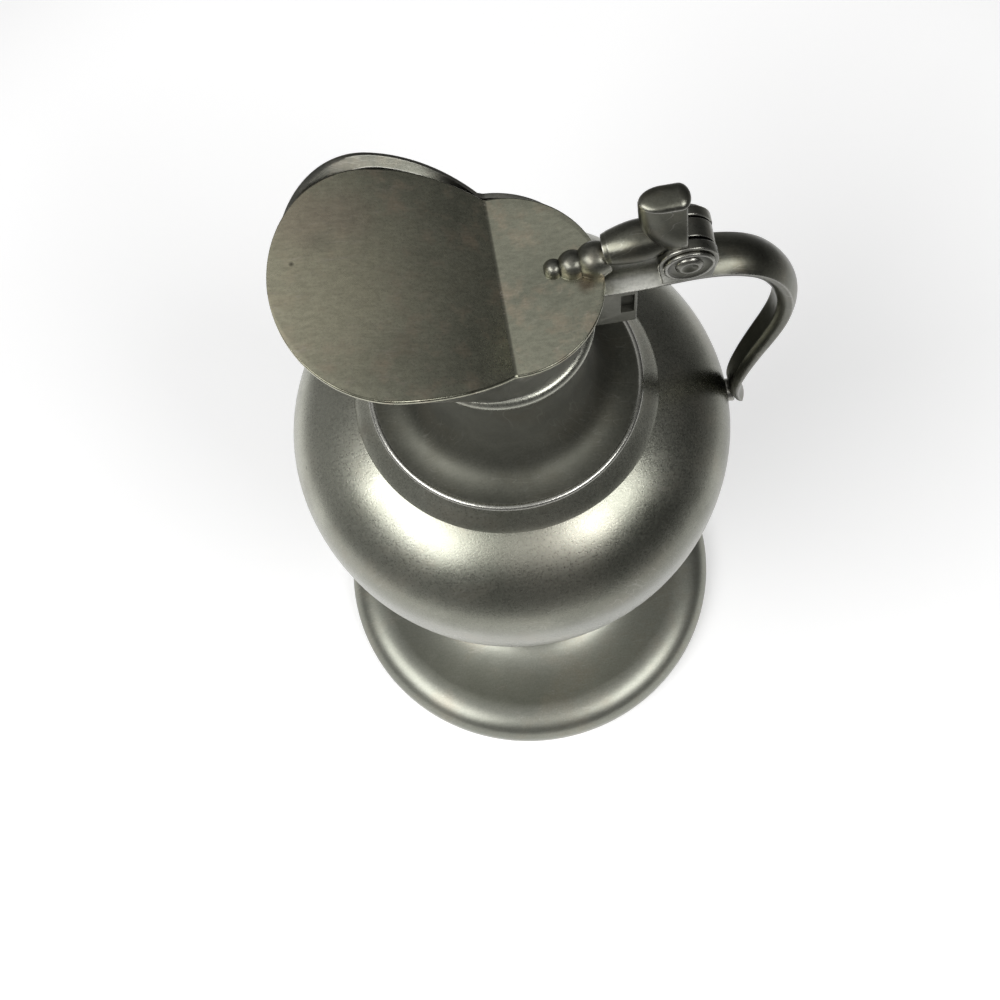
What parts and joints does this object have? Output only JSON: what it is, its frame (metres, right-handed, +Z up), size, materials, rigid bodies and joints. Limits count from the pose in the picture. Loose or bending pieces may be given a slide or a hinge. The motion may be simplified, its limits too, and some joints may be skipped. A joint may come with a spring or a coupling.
{
  "type": "lidded pitcher",
  "caption": "Round-bellied pouring pitcher on a spreading foot, with a strap handle, a flared beak and a hinged lid with a thumb knob.",
  "frame": {"origin": "centre of the foot, in the plane it stands on", "axes": "+Z up along the body axis, +X toward the handle, -X toward the beak, +Y along the hinge pin"},
  "size_m": [0.1275, 0.115, 0.2358],
  "materials": {
    "pewter_body": "satin, worn, with darker tarnish in the hollows",
    "pewter_lid": "satin, olive brown tarnish and fine scratches",
    "pewter_cast": "satin, rubbed bright on the crests"
  },
  "bodies": {
    "pitcher": {"foot": "pewter_body", "stem_collar": "pewter_body", "body_bowl": "pewter_body", "body_flank": "pewter_body", "body_lower": "pewter_body", "body_upper": "pewter_body", "shoulder_ring": "pewter_body", "neck": "pewter_body", "neck_bead": "pewter_body", "beak": "pewter_body", "handle": "pewter_cast", "handle_bracket": "pewter_cast", "handle_pad": "pewter_cast", "hinge_ear_near": "pewter_cast", "hinge_ear_far": "pewter_cast", "hinge_pin": "pewter_cast", "pin_washer_near": "pewter_cast", "pin_washer_far": "pewter_cast"},
    "lid": {"lid_plate": "pewter_lid", "lid_strap": "pewter_cast", "lid_arm": "pewter_cast", "lid_knuckle": "pewter_cast", "thumbpiece": "pewter_cast"}
  },
  "joints": [
    {"name": "lid_hinge", "type": "hinge", "parent": "pitcher", "child": "lid", "pos_m": [0.042, 0, 0.2143], "axis": [0, 1, 0], "range_deg": [0, 115]}
  ]
}
